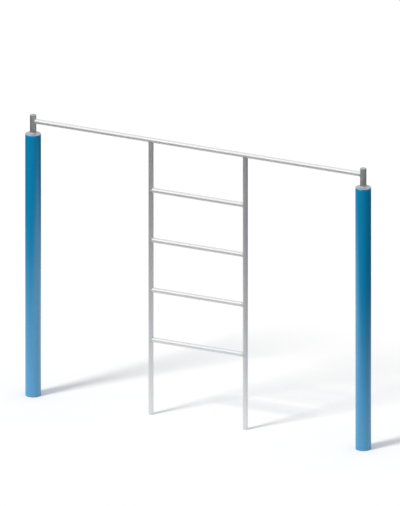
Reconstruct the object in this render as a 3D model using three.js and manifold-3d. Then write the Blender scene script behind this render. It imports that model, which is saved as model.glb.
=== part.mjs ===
// Free-standing exercise ladder: two ground posts carry a pull-up bar, and a rung ladder stands under its middle.
// Millimetres, +Z up, +X along the bar. The origin lies on the ground, midway between the posts.

import * as THREE from 'three';
import { mergeVertices } from 'three/addons/utils/BufferGeometryUtils.js';
import Module from 'manifold-3d';

const wasm = await Module();
wasm.setup();

// Posts: height is from the ground to the top of the cap
const POST_SPACING = 2800;
const POST_DIAMETER = 120;
const POST_WALL = 4;
const POST_HEIGHT = 2100;
const POST_EDGE_RADIUS = 2;
const POST_FOOT_THICKNESS = 10;
const POST_DRAIN_DIAMETER = 30;

// Post head: the cap, the sleeve under it and the screws that lock the sleeve in the post
const CAP_THICKNESS = 6;
const CAP_EDGE_RADIUS = 3;
const SLEEVE_LENGTH = 80;
const SLEEVE_WALL = 8;
const SCREW_DIAMETER = 10;
const SCREW_DROP = 40;
const SCREW_RECESS = 1;
const SCREW_POINT_CHAMFER = 1.5;
const SCREW_SOCKET_FLATS = 5;
const SCREW_SOCKET_DEPTH = 5;
const SCREW_ANGLES = [60, 120];

// Spigots: the tubes that stand in the posts and hold the ends of the bar
const SPIGOT_DIAMETER = 48.3;
const SPIGOT_WALL = 3.2;
const SPIGOT_DEPTH = 300;
const SPIGOT_OVER_BAR = 50;
const LID_THICKNESS = 4;
const LID_EDGE_RADIUS = 1.5;
const LID_PLUG_LENGTH = 12;
const GUIDE_THICKNESS = 10;
const GUIDE_BOSS_LENGTH = 25;
const GUIDE_DRAIN_DIAMETER = 14;

// Bar and ladder: the rungs divide the height between the lowest rung and the bar into equal steps
const BAR_OVER_POST = 100;
const BAR_DIAMETER = 38;
const BAR_WALL = 3;
const UPRIGHT_SPACING = 800;
const UPRIGHT_DIAMETER = 38;
const UPRIGHT_WALL = 3;
const UPRIGHT_FOOT_THICKNESS = 10;
const UPRIGHT_DRAIN_DIAMETER = 10;
const RUNG_COUNT = 4;
const RUNG_DIAMETER = 38;
const RUNG_WALL = 3;
const LOWEST_RUNG_HEIGHT = 600;

// Clearance between neighbouring pieces, and the facets of round ones
const FIT = 0.3;
const POST_SIDES = 48;
const TUBE_SIDES = 32;
const SCREW_SIDES = 24;
const EDGE_STEPS = 3;

// Sizes that follow from those above
const POST_TUBE_TOP = POST_HEIGHT - CAP_THICKNESS - FIT;
const POST_RADIUS = POST_DIAMETER / 2;
const POST_BORE_RADIUS = POST_RADIUS - POST_WALL;
const SPIGOT_RADIUS = SPIGOT_DIAMETER / 2;
const SPIGOT_BORE_RADIUS = SPIGOT_RADIUS - SPIGOT_WALL;
const BAR_HEIGHT = POST_HEIGHT + BAR_OVER_POST;
const SPIGOT_FOOT = POST_HEIGHT - SPIGOT_DEPTH;
const SPIGOT_TUBE_TOP = BAR_HEIGHT + SPIGOT_OVER_BAR - LID_THICKNESS - FIT;
const UPRIGHT_BORE_RADIUS = UPRIGHT_DIAMETER / 2 - UPRIGHT_WALL;
const RUNG_STEP = (BAR_HEIGHT - LOWEST_RUNG_HEIGHT) / RUNG_COUNT;
const SCREW_HEIGHT = POST_TUBE_TOP - SCREW_DROP;

// Finishes
const bluePaint = () => new THREE.MeshStandardMaterial({ color: 0x1f7fb0, roughness: 0.35, metalness: 0.0 });
const brushedSteel = () => new THREE.MeshStandardMaterial({ color: 0xc4c7c9, roughness: 0.32, metalness: 1.0 });
const zincSteel = () => new THREE.MeshStandardMaterial({ color: 0xa9adb0, roughness: 0.5, metalness: 1.0 });
const darkSteel = () => new THREE.MeshStandardMaterial({ color: 0x4a4c4f, roughness: 0.4, metalness: 1.0 });

// A quarter round of [radius, height] points about a centre, from one angle to another in degrees
function quarterRound(centreRadius, centreHeight, edge, from, to) {
  const points = [];
  for (let step = 0; step <= EDGE_STEPS; step += 1) {
    const angle = THREE.MathUtils.degToRad(from + (to - from) * step / EDGE_STEPS);
    points.push([centreRadius + edge * Math.cos(angle), centreHeight + edge * Math.sin(angle)]);
  }
  return points;
}

// An outline of [radius, height] points, anticlockwise, turned about the Z axis and closed on itself
function turned(outline, sides) {
  const loop = [...outline, outline[0]];
  const profile = loop.map(([radius, height]) => new THREE.Vector2(radius, height));
  return new THREE.LatheGeometry(profile, sides).rotateX(Math.PI / 2);
}

// A plain tube or ring about the Z axis
function ring(outerRadius, innerRadius, bottom, top, sides) {
  return turned([[outerRadius, bottom], [outerRadius, top], [innerRadius, top], [innerRadius, bottom]], sides);
}

// A solid round rod about the Z axis, with its facets in line with those of a tube
function rod(radius, bottom, top, sides) {
  const length = top - bottom;
  return new THREE.CylinderGeometry(radius, radius, length, sides)
    .rotateX(Math.PI / 2)
    .translate(0, 0, bottom + length / 2);
}

// The closed solid of a geometry, ready to be cut
function solidOf(geometry) {
  const bare = geometry.clone();
  bare.deleteAttribute('normal');
  bare.deleteAttribute('uv');
  const merged = mergeVertices(bare);
  return new wasm.Manifold(new wasm.Mesh({
    numProp: 3,
    vertProperties: merged.getAttribute('position').array,
    triVerts: merged.getIndex().array,
  }));
}

// A geometry with others cut away from it
function cut(geometry, ...cutters) {
  const solid = cutters.reduce((rest, cutter) => rest.subtract(solidOf(cutter)), solidOf(geometry));
  const { vertProperties, triVerts } = solid.getMesh();
  const result = new THREE.BufferGeometry();
  result.setAttribute('position', new THREE.BufferAttribute(vertProperties, 3));
  result.setIndex(new THREE.BufferAttribute(triVerts, 1));
  result.computeVertexNormals();
  return result;
}

function piece(name, geometry, material) {
  const mesh = new THREE.Mesh(geometry, material);
  mesh.name = name;
  return mesh;
}

// The holes that the lock screws pass through
function screwHoles() {
  return SCREW_ANGLES.map((angle) => rod(SCREW_DIAMETER / 2 + FIT, 0, POST_DIAMETER, SCREW_SIDES)
    .rotateY(Math.PI / 2)
    .rotateZ(THREE.MathUtils.degToRad(angle))
    .translate(0, 0, SCREW_HEIGHT));
}

function postTube() {
  const edge = POST_EDGE_RADIUS;
  const outline = [
    ...quarterRound(POST_RADIUS - edge, edge, edge, -90, 0),
    [POST_RADIUS, POST_TUBE_TOP],
    [POST_BORE_RADIUS, POST_TUBE_TOP],
    [POST_BORE_RADIUS, 0],
  ];
  return cut(turned(outline, POST_SIDES), ...screwHoles());
}

// The disc that closes the foot of a post, with a hole that lets water out
function postFoot() {
  return ring(POST_BORE_RADIUS - FIT, POST_DRAIN_DIAMETER / 2, 0, POST_FOOT_THICKNESS, POST_SIDES);
}

// The flat disc on top of a post, with a rounded rim and a hole for the spigot
function postCap() {
  const edge = CAP_EDGE_RADIUS;
  const hole = SPIGOT_RADIUS + FIT;
  const outline = [
    [POST_RADIUS, 0],
    ...quarterRound(POST_RADIUS - edge, CAP_THICKNESS - edge, edge, 0, 90),
    [hole, CAP_THICKNESS],
    [hole, 0],
  ];
  return turned(outline, POST_SIDES).translate(0, 0, POST_HEIGHT - CAP_THICKNESS);
}

// The sleeve that seats the head in the bore of the post
function registerSleeve() {
  const outer = POST_BORE_RADIUS - FIT;
  const blank = ring(outer, outer - SLEEVE_WALL, POST_TUBE_TOP - SLEEVE_LENGTH, POST_TUBE_TOP, POST_SIDES);
  return cut(blank, ...screwHoles());
}

function spigotTube() {
  return ring(SPIGOT_RADIUS, SPIGOT_BORE_RADIUS, SPIGOT_FOOT, SPIGOT_TUBE_TOP, TUBE_SIDES);
}

// The disc with a rounded rim that closes the top of a spigot, held by a plug in its bore
function spigotLid() {
  const edge = LID_EDGE_RADIUS;
  const plug = SPIGOT_BORE_RADIUS - FIT;
  const outline = [
    [0, -LID_PLUG_LENGTH],
    [plug, -LID_PLUG_LENGTH],
    [plug, 0],
    [SPIGOT_RADIUS, 0],
    ...quarterRound(SPIGOT_RADIUS - edge, LID_THICKNESS - edge, edge, 0, 90),
    [0, LID_THICKNESS],
  ];
  return turned(outline, TUBE_SIDES).translate(0, 0, SPIGOT_TUBE_TOP + FIT);
}

// The disc in the post under a spigot, with a boss that centres the tube
function spigotGuide() {
  const boss = SPIGOT_BORE_RADIUS - FIT;
  const drain = GUIDE_DRAIN_DIAMETER / 2;
  const outline = [
    [drain, -GUIDE_THICKNESS],
    [POST_BORE_RADIUS - FIT, -GUIDE_THICKNESS],
    [POST_BORE_RADIUS - FIT, 0],
    [boss, 0],
    [boss, GUIDE_BOSS_LENGTH],
    [drain, GUIDE_BOSS_LENGTH],
  ];
  return turned(outline, POST_SIDES).translate(0, 0, SPIGOT_FOOT - FIT);
}

// A headless screw along +X, its hexagon socket outwards, its point flush with the bore of the sleeve
function lockScrew() {
  const head = POST_RADIUS - SCREW_RECESS;
  const point = POST_BORE_RADIUS - FIT - SLEEVE_WALL;
  const radius = SCREW_DIAMETER / 2;
  const outline = [
    [0, point],
    [radius - SCREW_POINT_CHAMFER, point],
    [radius, point + SCREW_POINT_CHAMFER],
    [radius, head],
    [0, head],
  ];
  const flatsToCorners = 2 / Math.sqrt(3);
  const socket = rod(SCREW_SOCKET_FLATS * flatsToCorners / 2, head - SCREW_SOCKET_DEPTH, POST_DIAMETER, 6);
  return cut(turned(outline, SCREW_SIDES), socket).rotateY(Math.PI / 2);
}

// One post with its head, on one side of the frame
function postAssembly(side, x) {
  const group = new THREE.Group();
  group.position.x = x;
  group.add(
    piece(`${side}_post`, postTube(), bluePaint()),
    piece(`${side}_post_foot`, postFoot(), zincSteel()),
    piece(`${side}_post_cap`, postCap(), brushedSteel()),
    piece(`${side}_register_sleeve`, registerSleeve(), zincSteel()),
    piece(`${side}_spigot`, spigotTube(), brushedSteel()),
    piece(`${side}_spigot_lid`, spigotLid(), brushedSteel()),
    piece(`${side}_spigot_guide`, spigotGuide(), zincSteel()),
  );
  SCREW_ANGLES.forEach((angle, index) => {
    const screw = piece(`${side}_lock_screw_${index + 1}`, lockScrew(), darkSteel());
    screw.position.z = SCREW_HEIGHT;
    screw.rotation.z = THREE.MathUtils.degToRad(angle);
    group.add(screw);
  });
  return group;
}

// A tube along X whose two ends are saddled onto round upright tubes, the saddle spacing apart
function saddledTube(diameter, wall, saddleSpacing, saddleDiameter) {
  const half = saddleSpacing / 2;
  const blank = ring(diameter / 2, diameter / 2 - wall, -half, half, TUBE_SIDES).rotateY(Math.PI / 2);
  const saddle = rod(saddleDiameter / 2 + FIT, -diameter, diameter, TUBE_SIDES);
  return cut(blank, saddle.clone().translate(-half, 0, 0), saddle.clone().translate(half, 0, 0));
}

// A ladder upright, its top saddled onto the underside of the bar
function uprightTube() {
  const blank = ring(UPRIGHT_DIAMETER / 2, UPRIGHT_BORE_RADIUS, 0, BAR_HEIGHT, TUBE_SIDES);
  const saddle = rod(BAR_DIAMETER / 2 + FIT, -UPRIGHT_DIAMETER, UPRIGHT_DIAMETER, TUBE_SIDES)
    .rotateY(Math.PI / 2)
    .translate(0, 0, BAR_HEIGHT);
  return cut(blank, saddle);
}

function uprightFoot() {
  return ring(UPRIGHT_BORE_RADIUS - FIT, UPRIGHT_DRAIN_DIAMETER / 2, 0, UPRIGHT_FOOT_THICKNESS, TUBE_SIDES);
}

// The bar and the ladder under it
function barAndLadder() {
  const group = new THREE.Group();
  const bar = piece('top_bar', saddledTube(BAR_DIAMETER, BAR_WALL, POST_SPACING, SPIGOT_DIAMETER), brushedSteel());
  bar.position.z = BAR_HEIGHT;
  group.add(bar);
  for (const [side, x] of [['left', -UPRIGHT_SPACING / 2], ['right', UPRIGHT_SPACING / 2]]) {
    const upright = piece(`${side}_upright`, uprightTube(), brushedSteel());
    const foot = piece(`${side}_upright_foot`, uprightFoot(), zincSteel());
    upright.position.x = x;
    foot.position.x = x;
    group.add(upright, foot);
  }
  for (let step = 1; step <= RUNG_COUNT; step += 1) {
    const tube = saddledTube(RUNG_DIAMETER, RUNG_WALL, UPRIGHT_SPACING, UPRIGHT_DIAMETER);
    const rung = piece(`rung_${step}`, tube, brushedSteel());
    rung.position.z = BAR_HEIGHT - step * RUNG_STEP;
    group.add(rung);
  }
  return group;
}

const frame = new THREE.Group();
frame.add(
  postAssembly('left', -POST_SPACING / 2),
  postAssembly('right', POST_SPACING / 2),
  barAndLadder(),
);

export default frame;
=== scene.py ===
"""Looks for a free-standing exercise frame: blue posts, a steel bar and a ladder of steel rungs.

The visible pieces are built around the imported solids, in metres and in the same frame. The
solids that stay in view get their finishes here, and a plain pale stage is set round them.
"""

import math

import bmesh
import bpy
from bpy.props import FloatProperty, FloatVectorProperty, IntProperty, PointerProperty
from bpy.types import Operator, Panel, PropertyGroup
from mathutils import Matrix, Vector


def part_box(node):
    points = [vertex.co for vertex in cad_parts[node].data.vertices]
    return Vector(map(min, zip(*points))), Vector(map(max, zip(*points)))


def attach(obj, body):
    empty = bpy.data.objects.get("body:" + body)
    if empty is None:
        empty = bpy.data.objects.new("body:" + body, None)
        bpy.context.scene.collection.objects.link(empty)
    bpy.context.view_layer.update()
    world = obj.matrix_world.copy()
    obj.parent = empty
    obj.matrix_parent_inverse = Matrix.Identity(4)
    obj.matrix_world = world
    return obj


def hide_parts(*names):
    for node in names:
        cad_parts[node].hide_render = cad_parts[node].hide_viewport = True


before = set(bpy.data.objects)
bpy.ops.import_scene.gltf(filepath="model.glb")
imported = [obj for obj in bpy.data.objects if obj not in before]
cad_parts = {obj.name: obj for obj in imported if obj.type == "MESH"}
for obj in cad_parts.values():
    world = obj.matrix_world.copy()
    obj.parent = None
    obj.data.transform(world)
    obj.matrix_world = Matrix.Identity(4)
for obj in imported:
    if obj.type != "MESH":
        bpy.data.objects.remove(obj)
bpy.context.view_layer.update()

bl_info = {
    "name": "Exercise frame looks",
    "version": (1, 0, 0),
    "blender": (4, 5, 0),
    "location": "View3D > Sidebar > Exercise Frame",
    "description": "Builds the visible pieces of a bar-and-ladder exercise frame",
    "category": "Object",
}

BODY = "root"
ENDS = ("left", "right")
X, Y, Z = 0, 1, 2
FULL_TURN = 2 * math.pi
HALF_TURN = math.pi
QUARTER_TURN = math.pi / 2
ARC_STEPS = 6
POST_FACETS = 160
HEAD_FACETS = 128
TUBE_FACETS = 72
TUBE_ROWS = 6
BEAD_FACETS = 168
BEAD_SECTION = 12
HOLE_FACETS = 40
HOLE_BAND = 0.012
SEAT_GAP = 0.0003
MERGE_DISTANCE = 0.00001
SHARP_ANGLE = math.radians(32)
WHITE = (1.0, 1.0, 1.0)


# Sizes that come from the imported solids

def span(node, axis):
    """Size of a solid along one axis."""
    low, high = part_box(node)
    return high[axis] - low[axis]


def middle(node, axis):
    """Middle of a solid along one axis."""
    low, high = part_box(node)
    return (low[axis] + high[axis]) / 2


def foot_of(node):
    """Height of the lowest point of a solid."""
    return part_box(node)[0].z


def top_of(node):
    """Height of the highest point of a solid."""
    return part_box(node)[1].z


# Settings

def length(name, description, default):
    """A size in metres."""
    return FloatProperty(
        name=name,
        description=description,
        default=default,
        min=0.0,
        precision=4,
        subtype="DISTANCE",
        unit="LENGTH",
    )


def turn(name, description, degrees):
    """An angle, given in degrees."""
    return FloatProperty(
        name=name,
        description=description,
        default=math.radians(degrees),
        subtype="ANGLE",
        unit="ROTATION",
    )


def share(name, description, default):
    """A number from nothing to all."""
    return FloatProperty(
        name=name,
        description=description,
        default=default,
        min=0.0,
        max=1.0,
        subtype="FACTOR",
    )


def number(name, description, default):
    """A plain number."""
    return FloatProperty(name=name, description=description, default=default, min=0.0)


def colour(name, description, default):
    """A linear colour."""
    return FloatVectorProperty(
        name=name,
        description=description,
        default=default,
        size=3,
        min=0.0,
        max=1.0,
        subtype="COLOR",
    )


class FrameSizes(PropertyGroup):
    """Sizes of the posts, the bar and the ladder."""

    post_spacing: length(
        "Post spacing", "Between the axes of the posts", 2 * abs(middle("left_post", X))
    )
    post_diameter: length("Post diameter", "Across a post", span("left_post", Y))
    post_foot: length("Post foot", "Height of a post's lower end", foot_of("left_post"))
    post_top: length("Post top", "Height of a post's upper end", top_of("left_post"))
    post_wall: length("Post wall", "Thickness of a post's wall", 0.004)
    post_edge: length("Post edge", "Rounding at a post's foot", 0.002)
    post_rim: length("Post rim", "Rounding at a post's upper end", 0.0012)
    neck_height: length("Neck height", "Height of the neck at a post's upper end", 0.004)
    neck_depth: length("Neck depth", "Depth of the neck at a post's upper end", 0.0025)
    screw_hole: length("Screw hole", "Across a lock screw's hole", 0.0106)
    screw_height: length(
        "Screw height", "Height of the lock screws", middle("left_lock_screw_1", Z)
    )
    screw_angle: turn("Screw angle", "From the back of a post to a lock screw", 30.0)
    cap_foot: length("Cap foot", "Height of a cap's underside", top_of("left_post") + SEAT_GAP)
    cap_top: length("Cap top", "Height of a cap's face", top_of("left_post_cap"))
    cap_edge: length("Cap edge", "Rounding of a cap's rim", 0.0045)
    cap_fillet: length("Cap fillet", "Ground weld between a cap and its spigot", 0.014)
    cap_hem: length("Cap hem", "Rounding under a cap's rim", 0.0004)
    cap_groove: length("Cap groove", "Height of the groove under a cap", 0.001)
    spigot_diameter: length("Spigot diameter", "Across a spigot", span("left_spigot", Y))
    spigot_foot: length("Spigot foot", "Height of a spigot's lower end", foot_of("left_spigot"))
    spigot_top: length("Spigot top", "Height of a spigot's upper end", top_of("left_spigot"))
    spigot_wall: length("Spigot wall", "Thickness of a spigot's wall", 0.0032)
    lid_foot: length("Lid foot", "Lower end of a lid's plug", foot_of("left_spigot_lid"))
    lid_top: length("Lid top", "Height of a lid's face", top_of("left_spigot_lid"))
    lid_edge: length("Lid edge", "Rounding of a lid's rim", 0.0015)
    bar_height: length("Bar height", "Height of the bar's axis", middle("top_bar", Z))
    bar_diameter: length("Bar diameter", "Across the bar", span("top_bar", Y))
    upright_spacing: length(
        "Upright spacing", "Between the axes of the uprights", 2 * abs(middle("left_upright", X))
    )
    upright_diameter: length(
        "Upright diameter", "Across an upright", span("left_upright", Y)
    )
    rung_diameter: length("Rung diameter", "Across a rung", span("rung_1", Y))
    rung_count: IntProperty(
        name="Rung count", description="Rungs of the ladder", default=4, min=1
    )
    lowest_rung: length("Lowest rung", "Height of the lowest rung", middle("rung_4", Z))
    rung_step: length(
        "Rung step", "From one rung to the next", middle("rung_3", Z) - middle("rung_4", Z)
    )
    tube_wall: length("Tube wall", "Thickness of the bar's and the ladder's walls", 0.003)
    tube_edge: length("Tube edge", "Chamfer at the ends of the tubes", 0.0006)
    seat_gap: length("Seat gap", "Gap between pieces that meet", SEAT_GAP)
    bead_radius: length("Bead radius", "Half the width of a weld bead", 0.0026)
    bead_ripple: share("Bead ripple", "Depth of the ripples in a weld bead", 0.11)
    bead_sink: share("Bead sink", "How far a weld bead is sunk, as a share of its radius", 0.3)


class FrameFinishes(PropertyGroup):
    """Colours and shine of the finishes."""

    paint: colour("Paint", "Sky blue powder coat", (0.003, 0.245, 0.49))
    paint_rough: share("Paint roughness", "Least roughness under the clear coat", 0.3)
    coat_rough: share("Coat roughness", "Roughness of the clear coat", 0.14)
    coat_ior: number("Coat IOR", "Refraction of the clear coat", 1.9)
    paint_dust: colour("Paint dust", "Dust that settles low on the posts", (0.3, 0.33, 0.34))
    dust_height: length("Dust height", "How high the dust lies on the posts", 0.28)
    dust_share: share("Dust share", "How far the dust covers the paint", 0.22)
    primer: colour("Primer", "Zinc primer where the coat is chipped", (0.3, 0.31, 0.32))
    chip_height: length("Chip height", "How high the chips reach at a post's foot", 0.009)
    steel: colour("Steel", "Bare brushed tubes", (0.77, 0.775, 0.785))
    steel_metal: share("Steel metal", "How far the bar and rungs mirror like metal", 0.75)
    steel_rough: share("Steel roughness", "Least roughness of the bar and rungs", 0.42)
    upright_metal: share("Upright metal", "How far the uprights mirror like metal", 0.9)
    upright_rough: share("Upright roughness", "Least roughness of uprights and spigots", 0.36)
    # The spigot colour is the bare tube steel darkened, as painted shade on the spigots.
    spigot: colour("Spigot", "Bare brushed spigots", (0.61, 0.615, 0.62))
    line_shade: share("Line shade", "Shade of the darker brush lines", 0.86)
    cap_steel: colour("Cap steel", "Caps and lids", (0.423, 0.45, 0.477))
    cap_line: colour("Cap line", "Darker rings of the caps and lids", (0.347, 0.369, 0.391))
    cap_metal: share("Cap metal", "How far the caps and lids mirror like metal", 0.4)
    cap_rough: share("Cap roughness", "Least roughness of the caps and lids", 0.2)
    heat_tint: colour("Heat tint", "Straw tint beside the welds", (0.5, 0.42, 0.29))
    tint_start: length("Tint start", "From a joint's middle to where the tint starts to fade", 0.016)
    tint_end: length("Tint end", "From a joint's middle to where the tint ends", 0.034)
    tint_share: share("Tint share", "How far the tint covers the steel", 0.12)
    weld: colour("Weld", "Weld beads", (0.55, 0.545, 0.53))
    weld_rough: share("Weld roughness", "Least roughness of weld beads", 0.3)
    zinc: colour("Zinc", "Galvanised pieces", (0.42, 0.44, 0.46))
    zinc_rough: share("Zinc roughness", "Least roughness of galvanised pieces", 0.4)
    screw: colour("Screw", "Blackened lock screws", (0.035, 0.035, 0.04))
    screw_rough: share("Screw roughness", "Least roughness of lock screws", 0.36)


class StageSettings(PropertyGroup):
    """Camera, light and floor."""

    camera_turn: turn("Camera turn", "Round from the front to the camera", 26.525)
    camera_rise: turn("Camera rise", "Up from the ground to the camera", 18.999)
    camera_reach: length("Camera reach", "From the aim to the camera", 8.0)
    view_height: length("View height", "Height that the picture takes in", 3.8395)
    aim_across: length("Aim across", "From the origin to the aim, across the picture", 0.0138)
    aim_up: length("Aim up", "From the origin to the aim, up the picture", 1.2808)
    sun_turn: turn("Sun turn", "Turn of the shadows from the bar's direction", 61.5)
    sun_rise: turn("Sun rise", "Height of the key light", 44.3)
    sun_width: turn("Sun width", "Apparent size of the key light", 12.5)
    sun_gloss: share("Sun gloss", "Part of the key light that shows as a highlight", 0.26)
    sun_colour: colour("Sun colour", "Warmth of the key light", (1.0, 0.962, 0.914))
    sky_colour: colour("Sky colour", "Coolness of the soft light", (0.937, 0.961, 1.0))
    sun_strength: number("Sun strength", "Strength of the key light", 2.04)
    sky_strength: number("Sky strength", "Strength of the soft light", 0.65)
    floor_colour: colour("Floor", "Pale floor", (0.955, 0.955, 0.955))
    far_colour: colour("Far floor", "Floor light that comes from afar", (0.12, 0.12, 0.12))
    floor_size: length("Floor size", "Side of the floor", 80.0)
    cloth_colour: colour("Cloth", "Dark cloths round the set", (0.01, 0.01, 0.012))
    cloth_height: length("Cloth height", "Height of the cloths over the floor", 0.004)
    clear_length: length("Clear length", "Half the open floor along the bar", 3.3)
    clear_depth: length("Clear depth", "Half the open floor across the bar", 2.4)
    clear_shift: length("Clear shift", "How far the open floor lies to the left", 0.47)
    clear_back: length("Clear back", "How far the open floor lies to the back", 0.34)
    clear_start: number("Clear start", "Share of the open floor where it starts to dim", 0.32)
    clear_end: number("Clear end", "Share of the open floor where it ends", 1.7)


# Node trees

class Socket:
    """A node's output. Sums on it add Math nodes to its tree."""

    def __init__(self, tree, output):
        self.tree = tree
        self.output = output

    def math(self, operation, *values):
        """A Math node on these values."""
        return self.tree.node("ShaderNodeMath", dict(enumerate(values)), operation=operation)

    def other(self, name):
        """Another output of the same node."""
        return Socket(self.tree, self.output.node.outputs[name])

    def parts(self):
        """The three numbers of a vector."""
        split = self.tree.node("ShaderNodeSeparateXYZ", {"Vector": self})
        return split, split.other("Y"), split.other("Z")

    def __add__(self, value):
        return self.math("ADD", self, value)

    def __radd__(self, value):
        return self.math("ADD", value, self)

    def __sub__(self, value):
        return self.math("SUBTRACT", self, value)

    def __rsub__(self, value):
        return self.math("SUBTRACT", value, self)

    def __mul__(self, value):
        return self.math("MULTIPLY", self, value)

    def __rmul__(self, value):
        return self.math("MULTIPLY", value, self)

    def __truediv__(self, value):
        return self.math("DIVIDE", self, value)

    def __lt__(self, value):
        return self.math("LESS_THAN", self, value)

    def __gt__(self, value):
        return self.math("GREATER_THAN", self, value)

    def __abs__(self):
        return self.math("ABSOLUTE", self)

    def root(self):
        """Square root, with nothing for a negative number."""
        return self.math("SQRT", self.math("MAXIMUM", self, 0.0))

    def cosine(self):
        """Cosine."""
        return self.math("COSINE", self)

    def sine(self):
        """Sine."""
        return self.math("SINE", self)


class Tree:
    """A node tree that is written as expressions."""

    def __init__(self, node_tree):
        self.node_tree = node_tree

    def node(self, kind, inputs=None, output=0, **settings):
        """Adds a node: its settings first, then the values or links of its sockets."""
        made = self.node_tree.nodes.new(kind)
        for name, value in settings.items():
            setattr(made, name, value)
        for key, value in (inputs or {}).items():
            for part in value if isinstance(value, list) else [value]:
                if isinstance(part, Socket):
                    self.node_tree.links.new(part.output, made.inputs[key])
                else:
                    made.inputs[key].default_value = part
        return Socket(self, made.outputs[output]) if made.outputs else None

    def vector(self, x, y, z):
        """A vector of three numbers."""
        return self.node("ShaderNodeCombineXYZ", {"X": x, "Y": y, "Z": z})

    def stretched(self, place, scale):
        """A place with each of its numbers scaled."""
        return self.node("ShaderNodeVectorMath", {0: place, 1: scale}, operation="MULTIPLY")

    def noise(self, place, scale, detail=2.0, roughness=0.5):
        """Soft random values over a place."""
        return self.node(
            "ShaderNodeTexNoise",
            {"Vector": place, "Scale": scale, "Detail": detail, "Roughness": roughness},
            noise_dimensions="3D",
        )

    def ramp(self, value, low, high):
        """Rises smoothly from 0 at low to 1 at high."""
        return self.node(
            "ShaderNodeMapRange",
            {"Value": value, "From Min": low, "From Max": high},
            interpolation_type="SMOOTHSTEP",
        )

    def mix(self, factor, first, second):
        """A colour between two colours."""
        return self.node("ShaderNodeMix", {0: factor, 6: first, 7: second}, 2, data_type="RGBA")

    def bump(self, height, strength, distance):
        """A normal that follows a height."""
        return self.node(
            "ShaderNodeBump", {"Height": height, "Strength": strength, "Distance": distance}
        )

    def surface(self, inputs):
        """The finish of a material."""
        shader = self.node("ShaderNodeBsdfPrincipled", inputs)
        self.node("ShaderNodeOutputMaterial", {"Surface": shader})


def opaque(rgb):
    """A colour with full alpha."""
    return (*rgb, 1.0)


# Finishes

def finish(name, build):
    """The material of that name, built once."""
    found = bpy.data.materials.get(name)
    if found:
        return found
    made = bpy.data.materials.new(name)
    made.use_nodes = True
    made.node_tree.nodes.clear()
    build(Tree(made.node_tree), bpy.context.scene.frame_finishes)
    return made


def powder_coat(tree, finishes):
    """Glossy blue coat with a fine orange peel, dust near the ground and chips at the foot."""
    place = tree.node("ShaderNodeTexCoord", output="Object")
    height = place.parts()[Z]
    cloud = tree.noise(place, 5.0, 3.0)
    peel = tree.noise(place, 520.0, 1.0)
    grit = tree.noise(place, 160.0, 5.0, 0.7)
    low = 1.0 - tree.ramp(height, 0.0, finishes.dust_height)
    dust = low * tree.ramp(grit, 0.42, 0.72) * finishes.dust_share
    foot = 1.0 - tree.ramp(height, 0.001, finishes.chip_height)
    chips = foot * tree.ramp(grit, 0.56, 0.6)
    paint = Vector(finishes.paint)
    shade = tree.mix(cloud, opaque(paint * 0.94), opaque(paint * 1.06))
    dusty = tree.mix(dust, shade, opaque(finishes.paint_dust))
    tree.surface(
        {
            "Base Color": tree.mix(chips, dusty, opaque(finishes.primer)),
            "Roughness": finishes.paint_rough + 0.08 * cloud + 0.35 * dust + 0.2 * chips,
            "Specular IOR Level": 0.0,
            "Coat Weight": 1.0 - 0.7 * dust - chips,
            "Coat Roughness": finishes.coat_rough,
            "Coat IOR": finishes.coat_ior,
            "Normal": tree.bump(peel - 1.6 * chips, 0.05, 0.0004),
        }
    )


def brushed_steel(tree, finishes, tone, metal, rough, tinted):
    """Bare tube, brushed along its length, with straw tints beside the welds."""
    own = tree.node("ShaderNodeAttribute", output="Vector", attribute_name="own")
    along = own.parts()[X]
    lines = tree.noise(tree.stretched(own, (3.0, 900.0, 900.0)), 1.0, 3.0, 0.6)
    smears = tree.noise(tree.stretched(own, (4.0, 22.0, 22.0)), 1.0, 3.0, 0.6)
    line_tone = Vector(tone) * finishes.line_shade
    base = tree.mix(lines, opaque(line_tone), opaque(tone))
    if tinted:
        half = tree.node("ShaderNodeAttribute", output="Fac", attribute_name="half_length")
        to_end = half - abs(along)
        near = 1.0 - tree.ramp(to_end, finishes.tint_start, finishes.tint_end)
        tint = near * tree.ramp(smears, 0.25, 0.7) * finishes.tint_share
        base = tree.mix(tint, base, opaque(finishes.heat_tint))
    tree.surface(
        {
            "Base Color": base,
            "Metallic": metal,
            "Roughness": rough + 0.1 * lines + 0.08 * smears,
            "Normal": tree.bump(lines, 0.06, 0.0003),
        }
    )


def level_steel(tree, finishes):
    """Bar and rungs."""
    brushed_steel(
        tree, finishes, finishes.steel, finishes.steel_metal, finishes.steel_rough, tinted=True
    )


def upright_steel(tree, finishes):
    """Uprights."""
    brushed_steel(
        tree, finishes, finishes.steel, finishes.upright_metal, finishes.upright_rough, tinted=True
    )


def spigot_steel_painted_shade(tree, finishes):
    """Spigots, in the bare steel darkened as painted shade."""
    brushed_steel(tree, finishes, finishes.spigot, 1.0, finishes.upright_rough, tinted=False)


def turned_steel(tree, finishes):
    """Caps and lids, with fine rings from the lathe and a sharper shine than the tubes."""
    own = tree.node("ShaderNodeAttribute", output="Vector", attribute_name="own")
    along, across, up = own.parts()
    radius = (across * across + up * up).root()
    ring_place = tree.vector(radius * 1400.0, along * 1400.0, 0.0)
    rings = tree.noise(ring_place, 1.0, 2.0, 0.6)
    smears = tree.noise(own, 38.0, 3.0, 0.6)
    tree.surface(
        {
            "Base Color": tree.mix(rings, opaque(finishes.cap_line), opaque(finishes.cap_steel)),
            "Metallic": finishes.cap_metal,
            "Roughness": finishes.cap_rough + 0.1 * rings + 0.1 * smears,
            "Normal": tree.bump(rings, 0.08, 0.0003),
        }
    )


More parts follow.
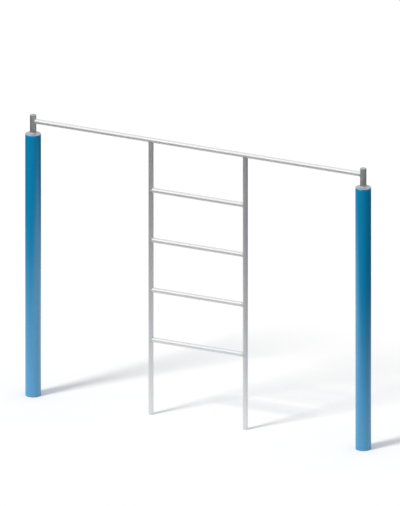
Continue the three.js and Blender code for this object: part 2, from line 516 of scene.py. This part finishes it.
def weld_metal(tree, finishes):
    """Rippled weld bead, a little duller than the tubes."""
    place = tree.node("ShaderNodeTexCoord", output="Object")
    heat = tree.noise(place, 120.0, 2.0)
    grain = tree.noise(place, 1500.0, 2.0)
    weld = Vector(finishes.weld)
    tree.surface(
        {
            "Base Color": tree.mix(heat, opaque(weld * 0.8), opaque(weld)),
            "Metallic": 1.0,
            "Roughness": finishes.weld_rough + 0.16 * heat,
            "Normal": tree.bump(grain, 0.08, 0.0003),
        }
    )


def galvanised(tree, finishes):
    """Zinc with its grown crystals."""
    place = tree.node("ShaderNodeTexCoord", output="Object")
    crystal = tree.node("ShaderNodeTexVoronoi", {"Vector": place, "Scale": 150.0}, "Color")
    tone = crystal.parts()[X]
    bloom = tree.noise(place, 40.0, 3.0)
    zinc = Vector(finishes.zinc)
    tree.surface(
        {
            "Base Color": tree.mix(tone, opaque(zinc * 0.8), opaque(zinc * 1.15)),
            "Metallic": 1.0 - 0.3 * tree.ramp(bloom, 0.5, 0.8),
            "Roughness": finishes.zinc_rough + 0.2 * tone + 0.1 * bloom,
            "Normal": tree.bump(bloom, 0.1, 0.0005),
        }
    )


def black_oxide(tree, finishes):
    """Blackened screw with worn grey patches."""
    place = tree.node("ShaderNodeTexCoord", output="Object")
    wear = tree.ramp(tree.noise(place, 420.0, 3.0), 0.5, 0.75)
    screw = Vector(finishes.screw)
    tree.surface(
        {
            "Base Color": tree.mix(wear, opaque(screw), opaque(screw * 3.0)),
            "Metallic": 1.0,
            "Roughness": finishes.screw_rough + 0.16 * wear,
            "Normal": tree.bump(wear, 0.1, 0.0002),
        }
    )


# Turned pieces

def rounded(corners):
    """Points of a closed outline whose corners are (radius, height, rounding)."""
    points = []
    for index, (radius, height, rounding) in enumerate(corners):
        corner = Vector((radius, height))
        if not rounding:
            points.append(corner)
            continue
        before = (Vector(corners[index - 1][:2]) - corner).normalized()
        after = (Vector(corners[(index + 1) % len(corners)][:2]) - corner).normalized()
        half = before.angle(after) / 2
        centre = corner + (before + after).normalized() * rounding / math.sin(half)
        first = corner + before * rounding / math.tan(half) - centre
        last = corner + after * rounding / math.tan(half) - centre
        for step in range(ARC_STEPS + 1):
            reach = first.slerp(last, step / ARC_STEPS).normalized() * rounding
            points.append(centre + reach)
    return points


def turned(name, corners, facets, x):
    """Object: a closed outline turned about an upright axis at x."""
    shape = bmesh.new()
    rings = []
    for radius, height in rounded(corners):
        if radius < MERGE_DISTANCE:
            rings.append([shape.verts.new((x, 0.0, height))] * facets)
            continue
        ring = []
        for facet in range(facets):
            angle = FULL_TURN * facet / facets
            ring.append(
                shape.verts.new((x + radius * math.cos(angle), radius * math.sin(angle), height))
            )
        rings.append(ring)
    for first, second in zip(rings, rings[1:] + rings[:1]):
        for facet in range(facets):
            following = (facet + 1) % facets
            around = (first[facet], first[following], second[following], second[facet])
            corners_left = list(dict.fromkeys(around))
            if len(corners_left) > 2:
                shape.faces.new(corners_left)
    bmesh.ops.recalc_face_normals(shape, faces=shape.faces)
    mesh = bpy.data.meshes.new(name)
    shape.to_mesh(mesh)
    shape.free()
    piece = bpy.data.objects.new(name, mesh)
    bpy.context.scene.collection.objects.link(piece)
    return piece


def keep_own_place(mesh, centre):
    """Stores each point's place on the piece, with the piece's upright axis first."""
    own = mesh.attributes.new("own", "FLOAT_VECTOR", "POINT")
    for point, stored in zip(mesh.vertices, own.data):
        x, y, z = point.co - centre
        stored.vector = (z, y, x)


def bore(piece, centre, directions, diameter, depth):
    """Cuts round holes from a point outwards through a wall."""
    shape = bmesh.new()
    for direction in directions:
        turned_to = direction.to_track_quat("Z", "X").to_matrix().to_4x4()
        at = Matrix.Translation(centre + direction * depth / 2)
        bmesh.ops.create_cone(
            shape,
            cap_ends=True,
            segments=HOLE_FACETS,
            radius1=diameter / 2,
            radius2=diameter / 2,
            depth=depth,
            matrix=at @ turned_to,
        )
    drill_mesh = bpy.data.meshes.new("drill")
    shape.to_mesh(drill_mesh)
    shape.free()
    drill = bpy.data.objects.new("drill", drill_mesh)
    bpy.context.scene.collection.objects.link(drill)
    modifier = piece.modifiers.new("bore", "BOOLEAN")
    modifier.operation = "DIFFERENCE"
    modifier.solver = "EXACT"
    modifier.object = drill
    plain(piece)
    bpy.data.objects.remove(drill)


def plain(piece):
    """Turns what a piece's modifiers make into its own plain mesh, and removes them."""
    graph = bpy.context.evaluated_depsgraph_get()
    made = bpy.data.meshes.new_from_object(
        piece.evaluated_get(graph), preserve_all_data_layers=True, depsgraph=graph
    )
    piece.modifiers.clear()
    piece.data = made
    made.name = piece.name


def settle(piece, material, slot, *nodes):
    """Gives a piece its finish and its place on the frame."""
    mesh = piece.data
    mesh.materials.clear()
    mesh.materials.append(material)
    mesh.shade_smooth()
    mesh.set_sharp_from_angle(angle=SHARP_ANGLE)
    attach(piece, BODY)
    if nodes:
        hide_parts(*nodes)


# Tubes and weld beads, grown by node trees

def grower(name, sockets, build):
    """The geometry node tree of that name, with these inputs, built once."""
    found = bpy.data.node_groups.get(name)
    if found:
        return found
    group = bpy.data.node_groups.new(name, "GeometryNodeTree")
    group.is_modifier = True
    for label, kind in sockets.items():
        group.interface.new_socket(label, in_out="INPUT", socket_type=f"NodeSocket{kind}")
    group.interface.new_socket("Geometry", in_out="OUTPUT", socket_type="NodeSocketGeometry")
    tree = Tree(group)
    first = tree.node("NodeGroupInput")
    given = {label: first.other(label) for label in sockets}
    tree.node("NodeGroupOutput", {"Geometry": build(tree, given)})
    return group


def grown(name, group, values):
    """Object: what a node tree makes of these values, as a plain mesh."""
    piece = bpy.data.objects.new(name, bpy.data.meshes.new(name))
    bpy.context.scene.collection.objects.link(piece)
    modifier = piece.modifiers.new(name, "NODES")
    modifier.node_group = group
    for item in group.interface.items_tree:
        if item.in_out == "INPUT":
            modifier[item.identifier] = values[item.name]
    plain(piece)
    return piece


def sheet_of_points(tree, rows, facets):
    """A flat sheet of faces, its row number and its angle round the piece."""
    sheet = tree.node(
        "GeometryNodeMeshGrid",
        {"Size X": 1.0, "Size Y": 1.0, "Vertices X": rows + 1, "Vertices Y": facets + 1},
    )
    row, turn_share, _ = tree.node("GeometryNodeInputPosition").parts()
    return sheet, (row + 0.5) * float(rows), (turn_share + 0.5) * -FULL_TURN


def shaped(tree, sheet, place):
    """The sheet with its points moved, closed along its edges."""
    moved = tree.node("GeometryNodeSetPosition", {"Geometry": sheet, "Position": place})
    return tree.node(
        "GeometryNodeMergeByDistance", {"Geometry": moved, "Distance": MERGE_DISTANCE}
    )


def repeated(tree, given, shape):
    """Copies of a shape along a line, turned about the line's crosswise axis."""
    turned_to = tree.node("FunctionNodeEulerToRotation", {"Euler": given["Turn"]})
    posed = tree.node("GeometryNodeTransform", {"Geometry": shape, "Rotation": turned_to})
    line = tree.node(
        "GeometryNodeMeshLine",
        {"Count": given["Count"], "Start Location": given["First"], "Offset": given["Step"]},
        mode="OFFSET",
    )
    return tree.node("GeometryNodeInstanceOnPoints", {"Points": line, "Instance": posed})


def ended(tree, given, geometry):
    """Real faces with the finish."""
    real = tree.node("GeometryNodeRealizeInstances", {"Geometry": geometry})
    return tree.node("GeometryNodeSetMaterial", {"Geometry": real, "Material": given["Material"]})


def saddled_tubes(tree, given):
    """Round tubes along a line of places, each end flat or saddled onto another tube."""
    sheet, row, angle = sheet_of_points(tree, TUBE_ROWS, TUBE_FACETS)
    # Rows 0 and 1 run along the outside, 3 and 4 along the inside, and 2 and 5 lie on the ends
    at_end = (row > 0.5) * (row < 3.5)
    outside = (row < 1.5) + (row > 5.5)
    inside = (row > 2.5) * (row < 4.5)
    edge = given["Edge"]
    radius = given["Radius"] - edge * (1.0 - outside) - (given["Wall"] - edge) * inside
    across = radius * angle.cosine()
    up = radius * angle.sine()
    half = given["Length"] / 2.0
    first_saddle = given["First Saddle"]
    last_saddle = given["Last Saddle"]
    first = (first_saddle * first_saddle - across * across).root() + edge * outside - half
    last = half - (last_saddle * last_saddle - across * across).root() - edge * outside
    along = first + (last - first) * at_end
    tube = shaped(tree, sheet, tree.vector(along, across, up))
    own = tree.node(
        "GeometryNodeStoreNamedAttribute",
        {"Geometry": tube, "Name": "own", "Value": tree.node("GeometryNodeInputPosition")},
        data_type="FLOAT_VECTOR",
        domain="POINT",
    )
    sized = tree.node(
        "GeometryNodeStoreNamedAttribute",
        {"Geometry": own, "Name": "half_length", "Value": half},
        data_type="FLOAT",
        domain="POINT",
    )
    return ended(tree, given, repeated(tree, given, sized))


TUBE_INPUTS = {
    "Length": "Float",
    "Radius": "Float",
    "Wall": "Float",
    "Edge": "Float",
    "First Saddle": "Float",
    "Last Saddle": "Float",
    "Turn": "Vector",
    "Count": "Int",
    "First": "Vector",
    "Step": "Vector",
    "Material": "Material",
}


def weld_beads(tree, given):
    """Rippled beads round the ends of tubes, and the same again half a turn round the frame."""
    sheet, row, angle = sheet_of_points(tree, BEAD_SECTION, BEAD_FACETS)
    section = row * (FULL_TURN / BEAD_SECTION)
    ripple = 1.0 + given["Ripple"] * (angle * given["Ripples"]).cosine()
    bead = given["Bead"] * ripple
    ring = given["Radius"]
    ring_across = ring * angle.cosine()
    saddle = given["Saddle"]
    along = (saddle * saddle - ring_across * ring_across).root() + bead * section.sine()
    reach = ring + bead * section.cosine()
    shape = shaped(
        tree, sheet, tree.vector(along, reach * angle.cosine(), reach * angle.sine())
    )
    near = repeated(tree, given, shape)
    half_turn = tree.node("FunctionNodeEulerToRotation", {"Euler": (0.0, 0.0, HALF_TURN)})
    far = tree.node("GeometryNodeTransform", {"Geometry": near, "Rotation": half_turn})
    both = tree.node("GeometryNodeJoinGeometry", {"Geometry": [near, far]})
    return ended(tree, given, both)


BEAD_INPUTS = {
    "Radius": "Float",
    "Saddle": "Float",
    "Bead": "Float",
    "Ripple": "Float",
    "Ripples": "Float",
    "Turn": "Vector",
    "Count": "Int",
    "First": "Vector",
    "Step": "Vector",
    "Material": "Material",
}


def tubes(name, material, nodes, places, **shape):
    """A group of like tubes, at places (count, first, step)."""
    sizes = bpy.context.scene.frame_sizes
    count, first, step = places
    values = {
        "Wall": sizes.tube_wall,
        "Edge": sizes.tube_edge,
        "Count": count,
        "First": first,
        "Step": step,
        "Material": material,
        **shape,
    }
    piece = grown(name, grower("saddled_tubes", TUBE_INPUTS, saddled_tubes), values)
    settle(piece, material, "bare_steel", *nodes)


def beads(name, ring, saddle, turn_about, places):
    """A group of like weld beads, at places (count, first, step)."""
    sizes = bpy.context.scene.frame_sizes
    material = finish("weld_metal", weld_metal)
    count, first, step = places
    ripple_pitch = sizes.bead_radius
    values = {
        "Radius": ring,
        "Saddle": saddle,
        "Bead": sizes.bead_radius,
        "Ripple": sizes.bead_ripple,
        "Ripples": float(round(FULL_TURN * ring / ripple_pitch)),
        "Turn": (0.0, turn_about, 0.0),
        "Count": count,
        "First": first,
        "Step": step,
        "Material": material,
    }
    piece = grown(name, grower("weld_beads", BEAD_INPUTS, weld_beads), values)
    settle(piece, material, "bare_steel")


def post_x(end):
    """Place of a post's axis along the bar."""
    half = bpy.context.scene.frame_sizes.post_spacing / 2
    return -half if end == "left" else half


# Operators

class FRAME_OT_posts(Operator):
    """Adds the two painted posts, bored for their lock screws"""

    bl_idname = "exercise_frame.posts"
    bl_label = "Posts"

    def execute(self, context):
        sizes = context.scene.frame_sizes
        outer = sizes.post_diameter / 2
        inner = outer - sizes.post_wall
        neck = outer - sizes.neck_depth
        shoulder = sizes.post_top - sizes.neck_height
        below = sizes.screw_height - HOLE_BAND
        above = sizes.screw_height + HOLE_BAND
        outline = [
            (inner, sizes.post_foot, 0.0),
            (outer, sizes.post_foot, sizes.post_edge),
            (outer, below, 0.0),
            (outer, above, 0.0),
            (outer, shoulder, sizes.post_rim),
            (neck, shoulder, 0.0),
            (neck, sizes.post_top, 0.0),
            (inner, sizes.post_top, 0.0),
            (inner, above, 0.0),
            (inner, below, 0.0),
        ]
        back = Vector((0.0, 1.0, 0.0))
        turns = (-sizes.screw_angle, sizes.screw_angle)
        directions = [Matrix.Rotation(angle, 3, "Z") @ back for angle in turns]
        for end in ENDS:
            piece = turned(f"{end}_post_coat", outline, POST_FACETS, post_x(end))
            centre = Vector((post_x(end), 0.0, sizes.screw_height))
            bore(piece, centre, directions, sizes.screw_hole, sizes.post_diameter)
            settle(piece, finish("powder_coat", powder_coat), "blue_paint", f"{end}_post")
        return {"FINISHED"}


class FRAME_OT_caps(Operator):
    """Adds the turned caps of the posts, with the ground welds round the spigots"""

    bl_idname = "exercise_frame.caps"
    bl_label = "Caps"

    def execute(self, context):
        sizes = context.scene.frame_sizes
        outer = sizes.post_diameter / 2
        hole = sizes.spigot_diameter / 2 + sizes.seat_gap
        neck = outer - sizes.neck_depth
        rim = sizes.cap_foot + sizes.cap_groove
        outline = [
            (hole, sizes.cap_foot, 0.0),
            (neck, sizes.cap_foot, 0.0),
            (neck, rim, 0.0),
            (outer, rim, sizes.cap_hem),
            (outer, sizes.cap_top, sizes.cap_edge),
            (hole, sizes.cap_top, sizes.cap_fillet),
            (hole, sizes.cap_top + sizes.cap_fillet + sizes.seat_gap, 0.0),
        ]
        for end in ENDS:
            piece = turned(f"{end}_cap_disc", outline, POST_FACETS, post_x(end))
            keep_own_place(piece.data, Vector((post_x(end), 0.0, sizes.cap_foot)))
            settle(piece, finish("turned_steel", turned_steel), "bare_steel", f"{end}_post_cap")
        return {"FINISHED"}


class FRAME_OT_spigots(Operator):
    """Adds the spigots on the posts and their lids"""

    bl_idname = "exercise_frame.spigots"
    bl_label = "Spigots and lids"

    def execute(self, context):
        sizes = context.scene.frame_sizes
        outer = sizes.spigot_diameter / 2
        inner = outer - sizes.spigot_wall
        tube_outline = [
            (inner, sizes.spigot_foot, 0.0),
            (outer, sizes.spigot_foot, sizes.tube_edge),
            (outer, sizes.spigot_top, sizes.tube_edge),
            (inner, sizes.spigot_top, 0.0),
        ]
        flange = sizes.spigot_top + sizes.seat_gap
        plug = inner - sizes.seat_gap
        lid_outline = [
            (0.0, sizes.lid_foot, 0.0),
            (plug, sizes.lid_foot, sizes.tube_edge),
            (plug, flange, 0.0),
            (outer, flange, sizes.tube_edge),
            (outer, sizes.lid_top, sizes.lid_edge),
            (0.0, sizes.lid_top, 0.0),
        ]
        for end in ENDS:
            x = post_x(end)
            tube = turned(f"{end}_spigot_tube", tube_outline, HEAD_FACETS, x)
            keep_own_place(tube.data, Vector((x, 0.0, sizes.bar_height)))
            settle(tube, finish("spigot_steel_painted_shade", spigot_steel_painted_shade), "bare_steel", f"{end}_spigot")
            lid = turned(f"{end}_spigot_top", lid_outline, HEAD_FACETS, x)
            keep_own_place(lid.data, Vector((x, 0.0, sizes.lid_foot)))
            settle(lid, finish("turned_steel", turned_steel), "bare_steel", f"{end}_spigot_lid")
        return {"FINISHED"}


class FRAME_OT_bar(Operator):
    """Adds the bar between the spigots"""

    bl_idname = "exercise_frame.bar"
    bl_label = "Bar"

    def execute(self, context):
        sizes = context.scene.frame_sizes
        saddle = sizes.spigot_diameter / 2 + sizes.seat_gap
        tubes(
            "bar_tube",
            finish("level_steel", level_steel),
            ["top_bar"],
            (1, (0.0, 0.0, sizes.bar_height), (0.0, 0.0, 0.0)),
            **{
                "Length": sizes.post_spacing,
                "Radius": sizes.bar_diameter / 2,
                "First Saddle": saddle,
                "Last Saddle": saddle,
                "Turn": (0.0, 0.0, 0.0),
            },
        )
        return {"FINISHED"}


class FRAME_OT_uprights(Operator):
    """Adds the two uprights of the ladder"""

    bl_idname = "exercise_frame.uprights"
    bl_label = "Uprights"

    def execute(self, context):
        sizes = context.scene.frame_sizes
        first = (-sizes.upright_spacing / 2, 0.0, sizes.bar_height / 2)
        tubes(
            "upright_tubes",
            finish("upright_steel", upright_steel),
            ["left_upright", "right_upright"],
            (2, first, (sizes.upright_spacing, 0.0, 0.0)),
            **{
                "Length": sizes.bar_height,
                "Radius": sizes.upright_diameter / 2,
                "First Saddle": 0.0,
                "Last Saddle": sizes.bar_diameter / 2 + sizes.seat_gap,
                "Turn": (0.0, -QUARTER_TURN, 0.0),
            },
        )
        return {"FINISHED"}


class FRAME_OT_rungs(Operator):
    """Adds the rungs of the ladder"""

    bl_idname = "exercise_frame.rungs"
    bl_label = "Rungs"

    def execute(self, context):
        sizes = context.scene.frame_sizes
        saddle = sizes.upright_diameter / 2 + sizes.seat_gap
        tubes(
            "rung_tubes",
            finish("level_steel", level_steel),
            [f"rung_{number + 1}" for number in range(sizes.rung_count)],
            (sizes.rung_count, (0.0, 0.0, sizes.lowest_rung), (0.0, 0.0, sizes.rung_step)),
            **{
                "Length": sizes.upright_spacing,
                "Radius": sizes.rung_diameter / 2,
                "First Saddle": saddle,
                "Last Saddle": saddle,
                "Turn": (0.0, 0.0, 0.0),
            },
        )
        return {"FINISHED"}


class FRAME_OT_welds(Operator):
    """Adds the weld beads where the tubes meet"""

    bl_idname = "exercise_frame.welds"
    bl_label = "Weld beads"

    def execute(self, context):
        sizes = context.scene.frame_sizes
        still = (0.0, 0.0, 0.0)
        upright_x = -sizes.upright_spacing / 2
        sunk = sizes.bead_radius * sizes.bead_sink
        tube_ring = sizes.rung_diameter / 2 - sunk / 2
        tube_saddle = sizes.upright_diameter / 2 + sunk / 2
        beads(
            "rung_welds",
            tube_ring,
            tube_saddle,
            0.0,
            (sizes.rung_count, (upright_x, 0.0, sizes.lowest_rung), (0.0, 0.0, sizes.rung_step)),
        )
        beads(
            "upright_welds",
            tube_ring,
            tube_saddle,
            QUARTER_TURN,
            (1, (upright_x, 0.0, sizes.bar_height), still),
        )
        beads(
            "bar_welds",
            tube_ring,
            sizes.spigot_diameter / 2,
            0.0,
            (1, (post_x("left"), 0.0, sizes.bar_height), still),
        )
        return {"FINISHED"}


class FRAME_OT_inner_pieces(Operator):
    """Finishes the solids that stay: feet, sleeves, guides and lock screws"""

    bl_idname = "exercise_frame.inner_pieces"
    bl_label = "Inner pieces"

    def execute(self, context):
        zinc = finish("galvanised", galvanised)
        black = finish("black_oxide", black_oxide)
        zinc_pieces = ("post_foot", "upright_foot", "register_sleeve", "spigot_guide")
        black_pieces = ("lock_screw_1", "lock_screw_2")
        for end in ENDS:
            for piece in zinc_pieces:
                self.refinish(f"{end}_{piece}", zinc)
            for piece in black_pieces:
                self.refinish(f"{end}_{piece}", black)
        return {"FINISHED"}

    def refinish(self, node, material):
        """Gives a solid another material."""
        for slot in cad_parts[node].material_slots:
            slot.material = material


class FRAME_OT_stage(Operator):
    """Adds the camera, the lights and the pale floor"""

    bl_idname = "exercise_frame.stage"
    bl_label = "Stage"

    def execute(self, context):
        stage = context.scene.frame_stage
        self.add_camera(context.scene, stage)
        self.add_key_light(context.scene, stage)
        self.add_soft_light(context.scene, stage)
        self.add_floor(context.scene, stage)
        self.add_cloths(context.scene, stage)
        context.scene.view_settings.view_transform = "Standard"
        return {"FINISHED"}

    def add_camera(self, scene, stage):
        """A camera without perspective, at the picture's angle."""
        sine, cosine = math.sin(stage.camera_turn), math.cos(stage.camera_turn)
        rise, level = math.sin(stage.camera_rise), math.cos(stage.camera_rise)
        across = Vector((cosine, sine, 0.0))
        up = Vector((-rise * sine, rise * cosine, level))
        back = Vector((sine * level, -cosine * level, rise))
        lens = bpy.data.cameras.new("camera")
        lens.type = "ORTHO"
        lens.ortho_scale = stage.view_height
        lens.clip_end = stage.floor_size * 2
        camera = bpy.data.objects.new("camera", lens)
        camera.location = across * stage.aim_across + up * stage.aim_up + back * stage.camera_reach
        camera.rotation_euler = Matrix((across, up, back)).transposed().to_euler()
        scene.collection.objects.link(camera)
        scene.camera = camera

    def add_key_light(self, scene, stage):
        """A wide sun from the front left, in two parts, of which one shows as a highlight."""
        level = math.cos(stage.sun_rise)
        shine = Vector(
            (
                math.cos(stage.sun_turn) * level,
                math.sin(stage.sun_turn) * level,
                -math.sin(stage.sun_rise),
            )
        )
        shares = {"key_light": stage.sun_gloss, "key_light_matt": 1.0 - stage.sun_gloss}
        for name, part in shares.items():
            lamp = bpy.data.lights.new(name, "SUN")
            lamp.energy = stage.sun_strength * part
            lamp.color = stage.sun_colour
            lamp.angle = stage.sun_width
            light = bpy.data.objects.new(name, lamp)
            light.rotation_euler = shine.to_track_quat("-Z", "Y").to_euler()
            light.visible_glossy = name == "key_light"
            scene.collection.objects.link(light)

    def add_soft_light(self, scene, stage):
        """A sky that is white where it is seen or mirrored, and soft where it lights the frame."""
        world = bpy.data.worlds.new("soft_light")
        world.use_nodes = True
        world.node_tree.nodes.clear()
        tree = Tree(world.node_tree)
        dim = opaque(Vector(stage.sky_colour) * stage.sky_strength)
        lit = tree.mix(self.seen(tree), dim, opaque(WHITE))
        sky = tree.node("ShaderNodeBackground", {"Color": lit})
        tree.node("ShaderNodeOutputWorld", {"Surface": sky})
        scene.world = world

    def flat_square(self, scene, name, height, material):
        """A wide level square of the stage."""
        half = scene.frame_stage.floor_size / 2
        corners = [(-half, -half, height), (half, -half, height)]
        corners += [(half, half, height), (-half, half, height)]
        mesh = bpy.data.meshes.new(name)
        mesh.from_pydata(corners, [], [(0, 1, 2, 3)])
        mesh.materials.append(material)
        square = bpy.data.objects.new(name, mesh)
        scene.collection.objects.link(square)
        return square

    def add_floor(self, scene, stage):
        """A plain matt floor, which sends less light to the frame from afar."""
        material = bpy.data.materials.new("pale_floor")
        material.use_nodes = True
        material.node_tree.nodes.clear()
        tree = Tree(material.node_tree)
        near, far = opaque(stage.floor_colour), opaque(stage.far_colour)
        dimmed = self.from_afar(tree, stage) * (1.0 - self.seen(tree))
        shader = tree.node("ShaderNodeBsdfDiffuse", {"Color": tree.mix(dimmed, near, far)})
        tree.node("ShaderNodeOutputMaterial", {"Surface": shader})
        self.flat_square(scene, "floor", 0.0, material)

    def seen(self, tree):
        """1 on what the camera sees, directly or mirrored, and 0 on what only lights the frame."""
        path = tree.node("ShaderNodeLightPath", output="Is Camera Ray")
        mirrored = path.other("Is Glossy Ray") + path.other("Is Transmission Ray")
        return path.math("MINIMUM", path + mirrored, 1.0)

    def from_afar(self, tree, stage):
        """0 on the open floor round the frame, rising to 1 away from it."""
        x, y, _ = tree.node("ShaderNodeTexCoord", output="Object").parts()
        along = (x + stage.clear_shift) / stage.clear_length
        across = (y - stage.clear_back) / stage.clear_depth
        reach = (along * along + across * across).root()
        return tree.ramp(reach, stage.clear_start, stage.clear_end)

    def add_cloths(self, scene, stage):
        """Dark cloths round the open floor, which only the mirroring surfaces see."""
        material = bpy.data.materials.new("dark_cloth")
        material.use_nodes = True
        material.node_tree.nodes.clear()
        tree = Tree(material.node_tree)
        cover = self.from_afar(tree, stage)
        clear = tree.node("ShaderNodeBsdfTransparent")
        cloth = tree.node("ShaderNodeBsdfDiffuse", {"Color": opaque(stage.cloth_colour)})
        shader = tree.node("ShaderNodeMixShader", {0: cover, 1: clear, 2: cloth})
        tree.node("ShaderNodeOutputMaterial", {"Surface": shader})
        cloths = self.flat_square(scene, "cloths", stage.cloth_height, material)
        cloths.visible_camera = False
        cloths.visible_diffuse = False
        cloths.visible_shadow = False
        cloths.visible_transmission = False
        cloths.visible_volume_scatter = False


OPERATORS = (
    FRAME_OT_stage,
    FRAME_OT_posts,
    FRAME_OT_caps,
    FRAME_OT_spigots,
    FRAME_OT_bar,
    FRAME_OT_uprights,
    FRAME_OT_rungs,
    FRAME_OT_welds,
    FRAME_OT_inner_pieces,
)


class FRAME_PT_sidebar(Panel):
    """Lists the pieces of the exercise frame"""

    bl_idname = "FRAME_PT_sidebar"
    bl_label = "Exercise frame"
    bl_space_type = "VIEW_3D"
    bl_region_type = "UI"
    bl_category = "Exercise Frame"

    def draw(self, context):
        column = self.layout.column()
        for operator in OPERATORS:
            column.operator(operator.bl_idname)
        for settings in ("frame_sizes", "frame_finishes", "frame_stage"):
            group = getattr(context.scene, settings)
            for name in group.__annotations__:
                column.prop(group, name)


CLASSES = (FrameSizes, FrameFinishes, StageSettings, *OPERATORS, FRAME_PT_sidebar)


def register():
    """Adds the classes and the scene's settings."""
    for added in CLASSES:
        bpy.utils.register_class(added)
    bpy.types.Scene.frame_sizes = PointerProperty(type=FrameSizes)
    bpy.types.Scene.frame_finishes = PointerProperty(type=FrameFinishes)
    bpy.types.Scene.frame_stage = PointerProperty(type=StageSettings)


def unregister():
    """Removes the scene's settings and the classes."""
    del bpy.types.Scene.frame_stage
    del bpy.types.Scene.frame_finishes
    del bpy.types.Scene.frame_sizes
    for added in reversed(CLASSES):
        bpy.utils.unregister_class(added)


def main():
    """Builds the pieces and the stage."""
    register()
    bpy.ops.exercise_frame.stage()
    bpy.ops.exercise_frame.posts()
    bpy.ops.exercise_frame.caps()
    bpy.ops.exercise_frame.spigots()
    bpy.ops.exercise_frame.bar()
    bpy.ops.exercise_frame.uprights()
    bpy.ops.exercise_frame.rungs()
    bpy.ops.exercise_frame.welds()
    bpy.ops.exercise_frame.inner_pieces()


if __name__ == "__main__":
    main()
